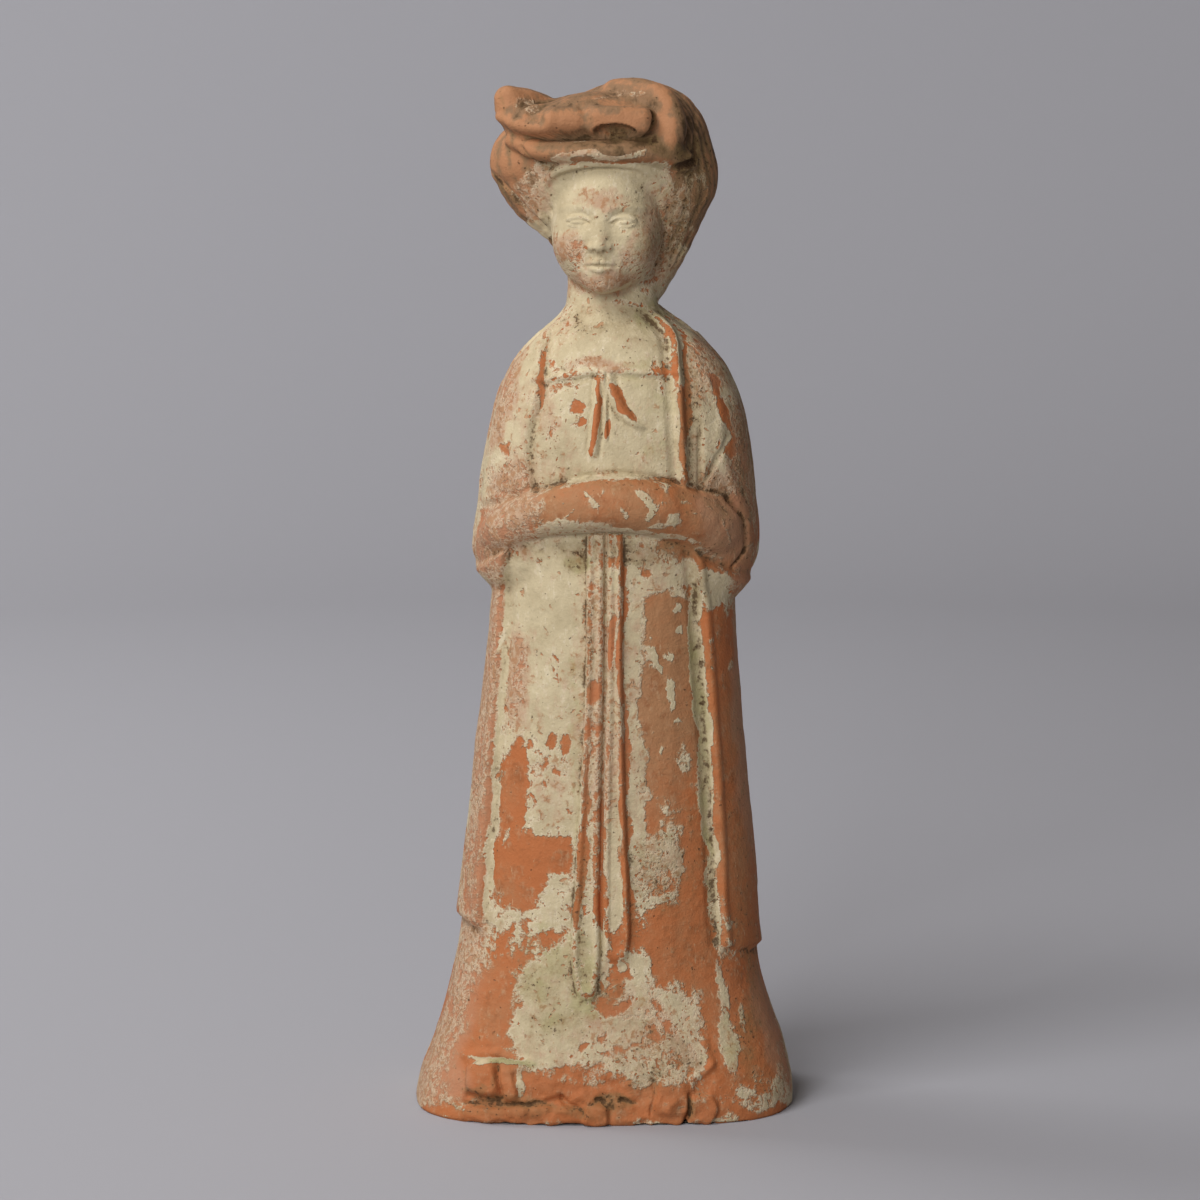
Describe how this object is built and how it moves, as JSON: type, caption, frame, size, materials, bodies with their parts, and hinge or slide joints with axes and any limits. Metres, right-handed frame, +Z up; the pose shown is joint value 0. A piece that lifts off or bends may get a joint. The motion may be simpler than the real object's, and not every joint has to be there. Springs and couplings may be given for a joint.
{
  "type": "standing court lady figure",
  "caption": "Standing robed court lady in low-fired clay with folded hands, a long coat and a topknot, resting on its flared skirt.",
  "frame": {"origin": "on the standing surface, under the middle of the figure's box", "axes": "+Z up from the sole to the topknot, -Y out of the figure's front, +X to a viewer's right"},
  "size_m": [0.1212, 0.086, 0.325],
  "materials": {
    "slipped_clay": "unglazed orange earthenware with a worn, flaking cream slip and matt earth stains"
  },
  "bodies": {
    "root": {"court_lady_figure": "slipped_clay"}
  },
  "joints": []
}
